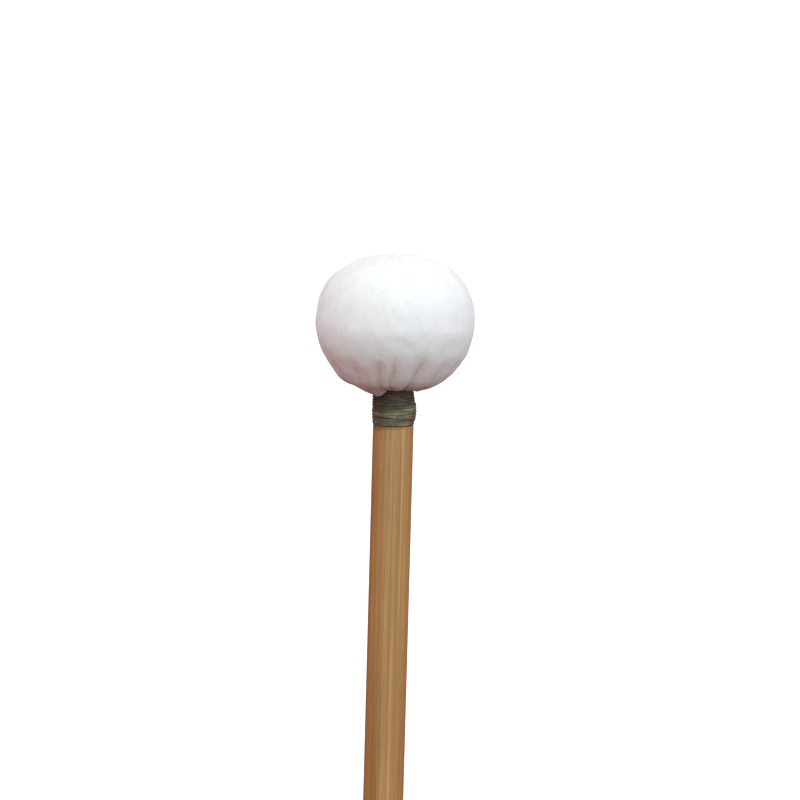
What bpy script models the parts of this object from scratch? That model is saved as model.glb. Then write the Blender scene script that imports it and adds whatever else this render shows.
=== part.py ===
"""A soft timpani mallet: a bamboo stick whose turned-down neck carries a felted, covered and tied ball head.

The middle of the butt's end face is the origin and +Z runs up the stick to the head. Lengths are metres. Everything
above the grip is stacked from the sizes below: neck, binding, gathered cover, core, inner felt, cover.
"""

import math

import bmesh
import bpy

# Fits
CLEARANCE = 0.0003
MERGE_DISTANCE = 0.000002

# Bamboo stick
GRIP_LENGTH = 0.3288
SHAFT_RADIUS = 0.00615
BUTT_RADIUS = 0.00640
BUTT_ROUNDING = 0.0012
PITH_RADIUS = 0.0026
NECK_RADIUS = 0.0042
NECK_CHAMFER = 0.0005
LOWER_JOINT_HEIGHT = 0.047
UPPER_JOINT_HEIGHT = 0.196
JOINT_RIDGE = 0.00050
JOINT_WIDTH = 0.0026
SCAR_DEPTH = 0.00022
DIAPHRAGM_THICKNESS = 0.004
BUD_GROOVE_DEPTH = 0.0006
BUD_GROOVE_LENGTH = 0.042
PLUG_LENGTH = 0.012
DOWEL_LENGTH = 0.022

# Core and what clamps it to the stick
CORE_RADIUS = 0.0145
CORE_HEIGHT = 0.0214
CORE_ROUNDING = 0.006
SOCKET_DEPTH = 0.0135
SOCKET_CHAMFER = 0.0006
WASHER_RADIUS = 0.0050
WASHER_THICKNESS = 0.0008
SCREW_RADIUS = 0.00125
SCREW_LENGTH = 0.016
SCREW_POINT = 0.0022
SCREW_HEAD_RADIUS = 0.0027
SCREW_HEAD_HEIGHT = 0.0016
SCREW_SLOT_WIDTH = 0.0007
SCREW_SLOT_DEPTH = 0.0007

# Felt: the strip round the core, the pad on its crown and the cover over both
BAND_THICKNESS = 0.0044
CROWN_THICKNESS = 0.0048
UNDER_THICKNESS = 0.0066
PAD_RADIUS = 0.0083
SEAM_GAP = 0.0006
SEAM_SKIVE = 0.0013
COVER_THICKNESS = 0.0042
LIP_RADIUS = 0.0070
PLEAT_DEPTH = 0.0015
SKIRT_THICKNESS = 0.0008

# Threads
BINDING_HEIGHT = 0.0094
BINDING_THREAD = 0.00075
BINDING_BULGE = 0.00043
DRAW_THREAD = 0.0008
DRAW_HEIGHT = 0.0032
WHIPPING_THREAD = 0.0006
THREAD_GAP = 0.00043
LACING_THREAD = 0.0006
LACING_REACH = 0.0011

# Counts and the form's curves, which aren't sizes
STICK_SIDES = 32
HEAD_SIDES = 30
SMALL_SIDES = 24
ARC_STEPS = 6
PLEATS = 15
POINTS_PER_TURN = 24
LACING_CROSSINGS = 9
LACING_POINTS = 6
CROWN_POWER = 2.33
PLEAT_START = math.radians(24)

# Sizes that follow from the ones above
BAND_FORM = (
    CORE_RADIUS + CLEARANCE + BAND_THICKNESS,
    CORE_HEIGHT / 2 + CLEARANCE + CROWN_THICKNESS,
    CORE_HEIGHT / 2 + CLEARANCE + UNDER_THICKNESS,
)
LINING_FORM = tuple(size + CLEARANCE for size in BAND_FORM)
COVER_FORM = tuple(size + COVER_THICKNESS for size in LINING_FORM)
LIP_ANGLE = math.acos(LIP_RADIUS / COVER_FORM[0])
EQUATOR = GRIP_LENGTH + BINDING_HEIGHT + CLEARANCE + COVER_FORM[2] * math.sin(LIP_ANGLE)
CORE_UNDERSIDE = EQUATOR - CORE_HEIGHT / 2
SOCKET_RADIUS = NECK_RADIUS + CLEARANCE
NECK_LENGTH = CORE_UNDERSIDE + SOCKET_DEPTH - CLEARANCE - GRIP_LENGTH
SCREW_HOLE_RADIUS = SCREW_RADIUS + CLEARANCE
COUNTERBORE_RADIUS = WASHER_RADIUS + CLEARANCE
COUNTERBORE_DEPTH = CLEARANCE + WASHER_THICKNESS + CLEARANCE + SCREW_HEAD_HEIGHT
SKIRT_RADIUS = SOCKET_RADIUS + SKIRT_THICKNESS


def finish(name, colour, roughness, metallic=0.0):
    """A plain surface with one colour, roughness and metallic value."""
    material = bpy.data.materials.new(name)
    material.use_nodes = True
    shader = material.node_tree.nodes["Principled BSDF"]
    shader.inputs["Base Color"].default_value = (*colour, 1.0)
    shader.inputs["Roughness"].default_value = roughness
    shader.inputs["Metallic"].default_value = metallic
    return material


def empty(name, height):
    """A guide that carries one section of the mallet."""
    guide = bpy.data.objects.new(name, None)
    guide.location.z = height
    bpy.context.scene.collection.objects.link(guide)
    return guide


def place(name, data, material, parent, height=0.0):
    """Put a mesh or curve into the scene, at a height above its parent."""
    piece = bpy.data.objects.new(name, data)
    piece.data.materials.append(material)
    piece.parent = parent
    piece.location.z = height
    bpy.context.scene.collection.objects.link(piece)
    return piece


def to_mesh(name, form):
    """Weld a bmesh, turn its faces outward and shade its round stretches smooth."""
    bmesh.ops.remove_doubles(form, verts=form.verts, dist=MERGE_DISTANCE)
    bmesh.ops.recalc_face_normals(form, faces=form.faces)
    mesh = bpy.data.meshes.new(name)
    form.to_mesh(mesh)
    form.free()
    mesh.shade_smooth()
    mesh.set_sharp_from_angle(angle=math.radians(35))
    return mesh


def spun(profile, sides, closed):
    """Spin a profile of (radius, height) points once round Z: closed is a ring, otherwise it ends on the axis."""
    form = bmesh.new()
    points = [form.verts.new((radius, 0.0, height)) for radius, height in profile]
    following = points[1:] + points[:1] if closed else points[1:]
    edges = [form.edges.new(pair) for pair in zip(points, following)]
    bmesh.ops.spin(
        form,
        geom=points + edges,
        cent=(0.0, 0.0, 0.0),
        axis=(0.0, 0.0, 1.0),
        angle=math.tau,
        steps=sides,
        use_merge=True,
    )
    return form


def turned(name, profile, sides, closed=False):
    """A turned piece's mesh."""
    return to_mesh(name, spun(profile, sides, closed))


def arc(centre, radius, start, end, steps=ARC_STEPS):
    """Points on a quarter or less of a circle in the turning profile, angles from the outward radius."""
    angles = [start + (end - start) * step / steps for step in range(steps + 1)]
    return [(centre[0] + radius * math.cos(a), centre[1] + radius * math.sin(a)) for a in angles]


def upper_form(form, angle):
    """A point on the head's upper half, at one of its felt layers: angle 0 is the equator, 90 degrees the crown."""
    power = 2 / CROWN_POWER
    return form[0] * math.cos(angle) ** power, form[1] * math.sin(angle) ** power


def lower_form(form, angle):
    """A point on the head's lower half, at one of its felt layers."""
    return form[0] * math.cos(angle), -form[2] * math.sin(angle)


def upper_angle(form, radius):
    """Where the upper half has shrunk to a radius."""
    return math.acos((radius / form[0]) ** (CROWN_POWER / 2))


def lower_angle(form, radius):
    """Where the lower half has shrunk to a radius."""
    return math.acos(radius / form[0])


def spread(start, end, steps):
    """Even steps from start to end, both included."""
    return [start + (end - start) * step / steps for step in range(steps + 1)]


def culm_radius(height):
    """The bamboo's radius: a slight taper, a ridge at each joint and the sheath's scar just below it."""
    radius = BUTT_RADIUS + (SHAFT_RADIUS - BUTT_RADIUS) * height / GRIP_LENGTH
    for joint in (LOWER_JOINT_HEIGHT, UPPER_JOINT_HEIGHT):
        above = (height - joint) / JOINT_WIDTH
        radius += JOINT_RIDGE * math.exp(-(above**2))
        radius -= SCAR_DEPTH * math.exp(-(((above + 1.7) / 0.45) ** 2))
    return radius


def bud_groove(height, turn):
    """The depth of the shallow groove that runs up from each joint, on opposite sides of the culm."""
    depth = 0.0
    for joint, side in ((LOWER_JOINT_HEIGHT, 0.0), (UPPER_JOINT_HEIGHT, math.pi)):
        above = (height - joint) / BUD_GROOVE_LENGTH
        across = math.cos(turn - side - math.radians(60))
        if 0.0 < above < 1.0 and across > 0.75:
            rise = min(1.0, above * 8)
            depth += BUD_GROOVE_DEPTH * rise * (1 - above) * ((across - 0.75) / 0.25) ** 0.7
    return depth


def culm_heights():
    """Heights of the culm's rings: close together at a joint, wider along the groove above it."""
    heights = []
    for joint in (LOWER_JOINT_HEIGHT, UPPER_JOINT_HEIGHT):
        heights += [joint + JOINT_WIDTH * share for share in (-2.8, -2.1, -1.7, -1.3, -0.8, 0.0, 0.8, 1.6)]
        heights += [joint + BUD_GROOVE_LENGTH * share for share in (0.25, 0.5, 0.75, 1.0)]
    return sorted(heights)


def bamboo_shaft(parent, material):
    """The culm, cut to length, with its joints, its pith hole in both ends and its turned-down neck."""
    tip = GRIP_LENGTH + NECK_LENGTH
    rounding = arc((BUTT_RADIUS - BUTT_ROUNDING, BUTT_ROUNDING), BUTT_ROUNDING, -math.pi / 2, 0.0, 4)
    profile = [
        (0.0, LOWER_JOINT_HEIGHT - DIAPHRAGM_THICKNESS / 2),
        (PITH_RADIUS, LOWER_JOINT_HEIGHT - DIAPHRAGM_THICKNESS / 2),
        (PITH_RADIUS, 0.0),
        *rounding,
        *[(culm_radius(height), height) for height in culm_heights()],
        (SHAFT_RADIUS, GRIP_LENGTH),
        (NECK_RADIUS, GRIP_LENGTH),
        (NECK_RADIUS, tip - NECK_CHAMFER),
        (NECK_RADIUS - NECK_CHAMFER, tip),
        (PITH_RADIUS, tip),
        (PITH_RADIUS, UPPER_JOINT_HEIGHT + DIAPHRAGM_THICKNESS / 2),
        (0.0, UPPER_JOINT_HEIGHT + DIAPHRAGM_THICKNESS / 2),
    ]
    form = spun(profile, STICK_SIDES, closed=False)
    for point in form.verts:
        reach = math.hypot(point.co.x, point.co.y)
        if reach > NECK_RADIUS * 1.1 and point.co.z < GRIP_LENGTH - CLEARANCE:
            kept = 1 - bud_groove(point.co.z, math.atan2(point.co.y, point.co.x)) / reach
            point.co.x *= kept
            point.co.y *= kept
    return place("bamboo_shaft", to_mesh("bamboo_shaft", form), material, parent)


def butt_plug(parent, material):
    """Closes the pith hole, flush with the butt."""
    radius = PITH_RADIUS - CLEARANCE
    profile = [
        (0.0, 0.0),
        (radius, 0.0),
        (radius, PLUG_LENGTH - CLEARANCE),
        (radius - CLEARANCE, PLUG_LENGTH),
        (0.0, PLUG_LENGTH),
    ]
    return place("butt_plug", turned("butt_plug", profile, SMALL_SIDES), material, parent)


def tip_dowel(parent, material):
    """Fills the pith hole at the tip and takes the screw in a blind pilot hole."""
    radius = PITH_RADIUS - CLEARANCE
    hole = SCREW_LENGTH - screw_drop() + CLEARANCE
    profile = [
        (0.0, -DOWEL_LENGTH),
        (radius - CLEARANCE, -DOWEL_LENGTH),
        (radius, CLEARANCE - DOWEL_LENGTH),
        (radius, 0.0),
        (SCREW_HOLE_RADIUS, 0.0),
        (SCREW_HOLE_RADIUS, -hole),
        (0.0, -hole),
    ]
    height = GRIP_LENGTH + NECK_LENGTH
    return place("tip_dowel", turned("tip_dowel", profile, SMALL_SIDES), material, parent, height)


def screw_drop():
    """From the underside of the screw's head down to the stick's tip."""
    return CORE_HEIGHT - SCREW_HEAD_HEIGHT - SOCKET_DEPTH + CLEARANCE


def core_side(stand_off, top_radius, under_radius):
    """The core's side, stood off outward: from a radius on its top, round both edges, to one on its underside."""
    middle = CORE_RADIUS - CORE_ROUNDING
    bend = CORE_ROUNDING + stand_off
    flat = CORE_HEIGHT / 2 - CORE_ROUNDING
    side = []
    for inner_radius, sign in ((top_radius, 1), (under_radius, -1)):
        start = math.pi / 2
        points = []
        if inner_radius < middle:
            points.append((inner_radius, sign * (flat + bend)))
        else:
            start = math.acos((inner_radius - middle) / bend)
        points += [(radius, sign * height) for radius, height in arc((middle, flat), bend, start, 0.0)]
        side += points[::sign]
    return side


def head_core(parent, material):
    """The turned wooden core: socket for the neck below, hole and counterbore for the screw above."""
    top = CORE_HEIGHT / 2
    ceiling = SOCKET_DEPTH - top
    profile = [
        *core_side(0.0, COUNTERBORE_RADIUS, SOCKET_RADIUS + SOCKET_CHAMFER),
        (SOCKET_RADIUS, SOCKET_CHAMFER - top),
        (SOCKET_RADIUS, ceiling),
        (SCREW_HOLE_RADIUS, ceiling),
        (SCREW_HOLE_RADIUS, top - COUNTERBORE_DEPTH),
        (COUNTERBORE_RADIUS, top - COUNTERBORE_DEPTH),
    ]
    return place("head_core", turned("head_core", profile, HEAD_SIDES, closed=True), material, parent)


def core_washer(parent, material):
    """The washer on the counterbore's floor."""
    floor = CORE_HEIGHT / 2 - COUNTERBORE_DEPTH + CLEARANCE
    profile = [
        (SCREW_HOLE_RADIUS, 0.0),
        (WASHER_RADIUS, 0.0),
        (WASHER_RADIUS, WASHER_THICKNESS),
        (SCREW_HOLE_RADIUS, WASHER_THICKNESS),
    ]
    return place("core_washer", turned("core_washer", profile, SMALL_SIDES, closed=True), material, parent, floor)


def core_screw(parent, material):
    """The screw that draws core and stick together, its slotted head level with the core's top."""
    dome = SCREW_HEAD_HEIGHT / 2
    profile = [
        (0.0, SCREW_HEAD_HEIGHT),
        (SCREW_HEAD_RADIUS * 0.55, SCREW_HEAD_HEIGHT - dome * 0.15),
        (SCREW_HEAD_RADIUS * 0.88, SCREW_HEAD_HEIGHT - dome * 0.55),
        (SCREW_HEAD_RADIUS, SCREW_HEAD_HEIGHT - dome),
        (SCREW_HEAD_RADIUS, 0.0),
        (SCREW_RADIUS, 0.0),
        (SCREW_RADIUS, SCREW_POINT - SCREW_LENGTH),
        (0.0, -SCREW_LENGTH),
    ]
    seat = CORE_HEIGHT / 2 - SCREW_HEAD_HEIGHT
    screw = place("core_screw", turned("core_screw", profile, SMALL_SIDES), material, parent, seat)
    slot = bmesh.new()
    bmesh.ops.create_cube(slot, size=1.0)
    size = (SCREW_HEAD_RADIUS * 3, SCREW_SLOT_WIDTH, SCREW_SLOT_DEPTH * 2)
    bmesh.ops.scale(slot, vec=size, verts=slot.verts)
    cutter = place("screw_slot_cutter", to_mesh("screw_slot_cutter", slot), material, screw, SCREW_HEAD_HEIGHT)
    cutter.hide_render = True
    cutter.display_type = "WIRE"
    cut = screw.modifiers.new("slot", "BOOLEAN")
    cut.operation = "DIFFERENCE"
    cut.solver = "EXACT"
    cut.object = cutter
    return screw


def crown_pad(parent, material):
    """The felt disc in the strip's top opening, domed like the strip round it."""
    floor = CORE_HEIGHT / 2 + CLEARANCE
    edge = upper_angle(BAND_FORM, PAD_RADIUS)
    dome = [upper_form(BAND_FORM, angle) for angle in spread(edge, math.pi / 2, 3)]
    profile = [(0.0, floor), (PAD_RADIUS, floor), *dome[:-1], (0.0, BAND_FORM[1])]
    return place("crown_pad", turned("crown_pad", profile, HEAD_SIDES), material, parent)


def inner_felt_band(parent, material):
    """The felt strip bent round the core, its skived ends meeting in an open butt seam at the back."""
    top = PAD_RADIUS + CLEARANCE
    under = SOCKET_RADIUS + WHIPPING_THREAD + CLEARANCE
    upper = [upper_form(BAND_FORM, angle) for angle in spread(upper_angle(BAND_FORM, top), 0.0, ARC_STEPS)]
    lower = [lower_form(BAND_FORM, angle) for angle in spread(0.0, lower_angle(BAND_FORM, under), ARC_STEPS)]
    outside = upper + lower[1:]
    section = outside + core_side(CLEARANCE, top, under)[::-1]
    half_gap = SEAM_GAP / 2 / BAND_FORM[0]
    turns = spread(math.pi / 2 + half_gap, math.pi * 5 / 2 - half_gap, HEAD_SIDES)
    form = bmesh.new()
    rings = []
    for number, turn in enumerate(turns):
        skive = SEAM_SKIVE if number in (0, HEAD_SIDES) else 0.0
        ring = []
        for index, (radius, height) in enumerate(section):
            share = 1.0
            if 0 < index < len(outside) - 1:
                share -= skive / math.hypot(radius, height)
            reach = radius * share
            ring.append(form.verts.new((reach * math.cos(turn), reach * math.sin(turn), height * share)))
        rings.append(ring)
    for ring, following in zip(rings, rings[1:]):
        for index in range(len(section)):
            after = (index + 1) % len(section)
            form.faces.new((ring[index], ring[after], following[after], following[index]))
    form.faces.new(rings[0])
    form.faces.new(rings[-1][::-1])
    bmesh.ops.triangulate(form, faces=[face for face in form.faces if len(face.verts) > 4])
    return place("inner_felt_band", to_mesh("inner_felt_band", form), material, parent)


def thread(name, run, diameter, material, parent):
    """Round thread along a run of points, with closed ends."""
    data = bpy.data.curves.new(name, "CURVE")
    data.dimensions = "3D"
    data.bevel_depth = diameter / 2
    data.bevel_resolution = 1
    data.use_fill_caps = True
    spline = data.splines.new("POLY")
    spline.points.add(len(run) - 1)
    for point, where in zip(spline.points, run):
        point.co = (*where, 1.0)
    return place(name, data, material, parent)


def band_seam_lacing(parent, material):
    """One thread laced to and fro across the strip's seam, sunk in the hollow that its skived ends leave."""
    under = -lower_angle(BAND_FORM, CORE_RADIUS)
    over = upper_angle(BAND_FORM, CORE_RADIUS)
    steps = LACING_CROSSINGS * LACING_POINTS
    run = []
    for step in range(steps + 1):
        angle = under + (over - under) * step / steps
        radius, height = upper_form(BAND_FORM, angle) if angle > 0 else lower_form(BAND_FORM, -angle)
        share = 1 - LACING_THREAD / 2 / math.hypot(radius, height)
        reach = radius * share
        across = LACING_REACH * math.cos(math.pi * step / LACING_POINTS)
        turn = math.pi / 2 + across / reach
        run.append((reach * math.cos(turn), reach * math.sin(turn), height * share))
    return thread("band_seam_lacing", run, LACING_THREAD, material, parent)


def wound(name, diameter, bottom, top, radius_at, material, parent):
    """One thread wound up the neck as an open helix whose ends run straight for one diameter."""
    room = top - bottom - diameter
    steps = int(room / (diameter + THREAD_GAP) * POINTS_PER_TURN)
    climb = room / steps
    run = []
    for step in range(steps + 1):
        height = bottom + diameter / 2 + climb * step
        turn = math.tau * step / POINTS_PER_TURN
        reach = radius_at(height)
        run.append((reach * math.cos(turn), reach * math.sin(turn), height))
    run.insert(0, straight_on(run[1], run[0], diameter))
    run.append(straight_on(run[-2], run[-1], diameter))
    print(name, "turns", round(steps / POINTS_PER_TURN, 2), "least gap to itself", least_gap(run, diameter))
    return thread(name, run, diameter, material, parent)


def straight_on(before, end, length):
    """The point that carries a run straight on past its end."""
    reach = math.dist(before, end)
    return tuple(b + (b - a) / reach * length for a, b in zip(before, end))


def least_gap(run, diameter):
    """The smallest gap between a wound thread and itself, over points at least half a turn apart."""
    apart = POINTS_PER_TURN // 2
    distances = [math.dist(a, b) for i, a in enumerate(run) for b in run[i + apart :]]
    return round(min(distances) - diameter, 6)


def skirt_radius(height):
    """The outer radius of the cover's skirt under the binding, a shallow barrel, by height above the shoulder."""
    share = min(1.0, max(0.0, height / BINDING_HEIGHT))
    return SKIRT_RADIUS + BINDING_BULGE * math.sin(math.pi * share)


def binding_thread(parent, material):
    """The thread wound over the cover's skirt, from the stick's shoulder up to the ball."""

    def reach(height):
        return skirt_radius(height) + CLEARANCE + BINDING_THREAD / 2

    return wound("binding_thread", BINDING_THREAD, CLEARANCE, BINDING_HEIGHT, reach, material, parent)


def cover_draw_thread(parent, material):
    """The cord in the cover's hem, drawn tight round the neck on the shoulder, under the binding."""

    def reach(height):
        return SOCKET_RADIUS + DRAW_THREAD / 2

    top = CLEARANCE + DRAW_HEIGHT
    return wound("cover_draw_thread", DRAW_THREAD, CLEARANCE, top, reach, material, parent)


def neck_whipping(parent, material):
    """The thread wound round the neck just under the core, inside the strip's lower opening."""

    def reach(height):
        return SOCKET_RADIUS + WHIPPING_THREAD / 2

    top = CORE_UNDERSIDE - CLEARANCE - GRIP_LENGTH
    outside = SOCKET_RADIUS + WHIPPING_THREAD
    lining = lower_form(LINING_FORM, lower_angle(LINING_FORM, outside))[1] + EQUATOR - GRIP_LENGTH
    return wound("neck_whipping", WHIPPING_THREAD, lining + CLEARANCE, top, reach, material, parent)


def pleat(turn, share):
    """How far the gathered felt is drawn in at an angle: rounded folds between sharp creases, each leaning a bit."""
    within = (turn / math.tau * PLEATS) % 1.0
    crease = (1 - math.sin(math.pi * within**0.85)) ** 1.6
    return PLEAT_DEPTH * share * crease


def cover_outside():
    """Rings of the cover's outer face, crown to hem: (radius, height, outward lean, pleat share, sides)."""
    rings = []
    for angle in spread(math.pi / 2, 0.0, ARC_STEPS)[1:]:
        radius, height = upper_form(COVER_FORM, angle)
        rings.append((radius, height, 0.0, 0.0, HEAD_SIDES))
    for angle in spread(0.0, LIP_ANGLE, ARC_STEPS + 1)[1:]:
        radius, height = lower_form(COVER_FORM, angle)
        lean = math.atan2(math.sin(angle) / COVER_FORM[2], math.cos(angle) / COVER_FORM[0])
        share = max(0.0, (angle - PLEAT_START) / (LIP_ANGLE - PLEAT_START)) ** 1.3
        rings.append((radius, height, lean, share, HEAD_SIDES * 2))
    throat = GRIP_LENGTH + BINDING_HEIGHT + CLEARANCE - EQUATOR
    rings.append(((LIP_RADIUS + SKIRT_RADIUS) / 2, throat, math.pi / 2, 0.55, HEAD_SIDES * 2))
    hem = CLEARANCE + DRAW_HEIGHT + CLEARANCE
    for height in spread(BINDING_HEIGHT + CLEARANCE, hem, 4):
        rings.append((skirt_radius(height), height + GRIP_LENGTH - EQUATOR, 0.0, 0.0, HEAD_SIDES))
    return rings


def cover_inside():
    """Rings of the cover's inner face, hem to crown, over the neck, the strip and the pad."""
    hem = GRIP_LENGTH + CLEARANCE + DRAW_HEIGHT + CLEARANCE - EQUATOR
    rings = [(SOCKET_RADIUS, hem, 0.0, 0.0, HEAD_SIDES)]
    for angle in spread(lower_angle(LINING_FORM, SOCKET_RADIUS), 0.0, ARC_STEPS):
        rings.append((*lower_form(LINING_FORM, angle), 0.0, 0.0, HEAD_SIDES))
    for angle in spread(0.0, math.pi / 2, ARC_STEPS)[1:-1]:
        rings.append((*upper_form(LINING_FORM, angle), 0.0, 0.0, HEAD_SIDES))
    return rings


def join_rings(form, ring, following):
    """Faces between two rings of points, where one may have twice as many points as the other."""
    if len(ring) > len(following):
        ring, following = following, ring
    count = len(ring)
    for index in range(count):
        after = (index + 1) % count
        if len(following) == count:
            form.faces.new((ring[index], ring[after], following[after], following[index]))
            continue
        first, middle, last = (following[(index * 2 + step) % len(following)] for step in range(3))
        form.faces.new((ring[index], middle, first))
        form.faces.new((ring[index], ring[after], middle))
        form.faces.new((ring[after], last, middle))


def felt_cover(parent, material):
    """The one-piece cover: a ball above, drawn in by pleats to a lip over the binding and a skirt under it."""
    form = bmesh.new()
    rings = []
    for radius, height, lean, share, sides in cover_outside() + cover_inside():
        ring = []
        for side in range(sides):
            turn = math.tau * side / sides
            depth = pleat(turn, share)
            reach = radius - depth * math.cos(lean)
            rise = height + depth * math.sin(lean)
            ring.append(form.verts.new((reach * math.cos(turn), reach * math.sin(turn), rise)))
        rings.append(ring)
    for ring, following in zip(rings, rings[1:]):
        join_rings(form, ring, following)
    for ring, height in ((rings[0], COVER_FORM[1]), (rings[-1], LINING_FORM[1])):
        pole = form.verts.new((0.0, 0.0, height))
        for index, point in enumerate(ring):
            form.faces.new((pole, point, ring[(index + 1) % len(ring)]))
    return place("felt_cover", to_mesh("felt_cover", form), material, parent)


def main():
    """Build the mallet in an empty scene, on three guides: the stick, its neck and the head."""
    for leftover in list(bpy.data.objects):
        bpy.data.objects.remove(leftover)
    stick = empty("stick", 0.0)
    neck = empty("neck", GRIP_LENGTH)
    head = empty("head", EQUATOR)
    bamboo_shaft(stick, finish("bamboo", (0.42, 0.24, 0.105), 0.38))
    butt_plug(stick, finish("plug_wood", (0.30, 0.16, 0.07), 0.5))
    tip_dowel(stick, finish("dowel_wood", (0.55, 0.37, 0.20), 0.6))
    head_core(head, finish("core_wood", (0.60, 0.42, 0.25), 0.6))
    core_washer(head, finish("washer_steel", (0.55, 0.55, 0.56), 0.35, 1.0))
    core_screw(head, finish("screw_steel", (0.50, 0.50, 0.52), 0.3, 1.0))
    crown_pad(head, finish("pad_felt", (0.62, 0.60, 0.55), 0.95))
    inner_felt_band(head, finish("band_felt", (0.66, 0.63, 0.57), 0.95))
    band_seam_lacing(head, finish("lacing_thread", (0.75, 0.72, 0.65), 0.8))
    neck_whipping(neck, finish("whipping_thread", (0.55, 0.50, 0.40), 0.8))
    felt_cover(head, finish("cover_felt", (0.86, 0.86, 0.85), 0.95))
    cover_draw_thread(neck, finish("draw_thread", (0.78, 0.76, 0.70), 0.8))
    binding_thread(neck, finish("olive_thread", (0.085, 0.085, 0.050), 0.7))
    print("equator", round(EQUATOR, 5), "overall length", round(EQUATOR + COVER_FORM[1], 5))


main()
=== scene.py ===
# %% [markdown]
# # A soft timpani mallet
# The stick is bamboo, the head is a wooden core under hard felt, and a thick soft white felt cover is drawn
# down over it, gathered in pleats and tied with olive thread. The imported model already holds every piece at
# its real size and place. This lesson keeps the small rigid pieces and gives them finishes. It makes the
# stick, the felt and the threads again, with the fine form that they have in the hand.

import math

import bmesh
import bpy
import numpy as np
from mathutils import Matrix, Vector
from mathutils import noise as lump_noise


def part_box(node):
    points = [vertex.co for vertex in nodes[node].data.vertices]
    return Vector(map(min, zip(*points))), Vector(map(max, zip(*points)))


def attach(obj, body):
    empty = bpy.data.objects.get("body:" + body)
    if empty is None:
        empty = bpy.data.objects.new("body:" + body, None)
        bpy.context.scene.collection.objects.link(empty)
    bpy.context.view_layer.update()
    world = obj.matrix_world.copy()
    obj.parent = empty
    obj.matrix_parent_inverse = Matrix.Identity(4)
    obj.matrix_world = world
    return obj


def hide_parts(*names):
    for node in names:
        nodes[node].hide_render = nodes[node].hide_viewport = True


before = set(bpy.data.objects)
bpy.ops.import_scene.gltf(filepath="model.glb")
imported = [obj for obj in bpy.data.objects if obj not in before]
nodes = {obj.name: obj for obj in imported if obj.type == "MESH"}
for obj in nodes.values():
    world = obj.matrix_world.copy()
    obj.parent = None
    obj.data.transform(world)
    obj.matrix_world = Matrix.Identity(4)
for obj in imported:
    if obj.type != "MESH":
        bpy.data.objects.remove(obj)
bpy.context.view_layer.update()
print("nodes:", sorted(nodes))

# %% [markdown]
# ## Where things are
# All sizes here are metres, and one millimetre is MM. The heights that matter come from the model's own
# pieces: the shoulder where the stick's neck begins, the top of the binding, the head's equator and its
# crown. Reading them from the frame means that a longer stick moves everything above it without a change
# here.

# %% Heights and radii read from the frame
MM = 0.001
clearance = 0.3 * MM

cover_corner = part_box("felt_cover")[1]
binding_low, binding_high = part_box("binding_thread")
stick_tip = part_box("bamboo_shaft")[1].z

head_radius = cover_corner.x
crown_rise = 20.3 * MM
under_drop = 22.1 * MM
equator = cover_corner.z - crown_rise
shoulder = binding_low.z - clearance
binding_top = binding_high.z
stick_radius = 6.15 * MM
butt_radius = 6.40 * MM
neck_radius = 4.2 * MM
print("shoulder", round(shoulder, 4), "binding top", round(binding_top, 4), "equator", round(equator, 4))

# %% [markdown]
# ## The camera
# The photograph looks a little down on an upright mallet that leans slightly, its head to the right. One
# pixel is 0.3 mm at the stick, so an 800 pixel picture shows 240 mm there, and the lens sets how far back
# that is. The camera is rolled and not the mallet, because the model stands upright in its own frame.

# %% Place the camera
scene = bpy.context.scene
metres_per_pixel = 0.3 * MM
picture_pixels = 800
look_down = math.radians(8.0)
lean_slope = 0.0275
lean = math.atan(lean_slope)
aim = Vector((1.80 * MM, 0.0, 336.2 * MM))


def add_object(name, data):
    """Put a camera, a lamp or a mesh into the scene as an object."""
    thing = bpy.data.objects.new(name, data)
    scene.collection.objects.link(thing)
    return thing


camera_data = bpy.data.cameras.new("camera")
camera_data.lens = 90.0
camera_data.sensor_width = 36.0
camera_data.clip_start = 0.02
camera = add_object("camera", camera_data)
scene.camera = camera

distance = picture_pixels * metres_per_pixel * camera_data.lens / camera_data.sensor_width
backward = Vector((0.0, -math.cos(look_down), math.sin(look_down)))
level_right = Vector((1.0, 0.0, 0.0))
level_up = backward.cross(level_right)
right = level_right * math.cos(lean) + level_up * math.sin(lean)
up = level_up * math.cos(lean) - level_right * math.sin(lean)
turned = Matrix((right, up, backward)).transposed().to_4x4()
camera.matrix_world = Matrix.Translation(aim + backward * distance) @ turned
print("camera", [round(v, 4) for v in camera.location], "distance", round(distance, 3))

# %% [markdown]
# ## A small kit for materials
# Node trees are long to write out, so a few helpers carry them. Some add a node with its sockets filled, or
# start a material with its Principled BSDF or a node group. Others do sums, draw noise and mix colours.
# Numbers that are the same all over a surface are set on the shader's own sockets, and only what changes
# over it comes from nodes.

# %% Helpers that add and start
def fill(tree, socket, value):
    """Feed a socket from another node's output, or set it to a plain value."""
    if isinstance(value, bpy.types.NodeSocket):
        tree.links.new(value, socket)
    else:
        socket.default_value = value


def add_node(tree, kind, inputs=None, **settings):
    """Add a node, set its properties, and fill its inputs with values or with other nodes' outputs."""
    node = tree.nodes.new(kind)
    for name, value in settings.items():
        setattr(node, name, value)
    for name, value in (inputs or {}).items():
        fill(tree, node.inputs[name], value)
    return node


def start_material(name, **constants):
    """A material with its Principled BSDF, whose plain sockets take the constants."""
    material = bpy.data.materials.new(name)
    material.use_nodes = True
    shader = material.node_tree.nodes["Principled BSDF"]
    for socket, value in constants.items():
        shader.inputs[socket.replace("_", " ")].default_value = value
    return material, material.node_tree, shader


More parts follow.
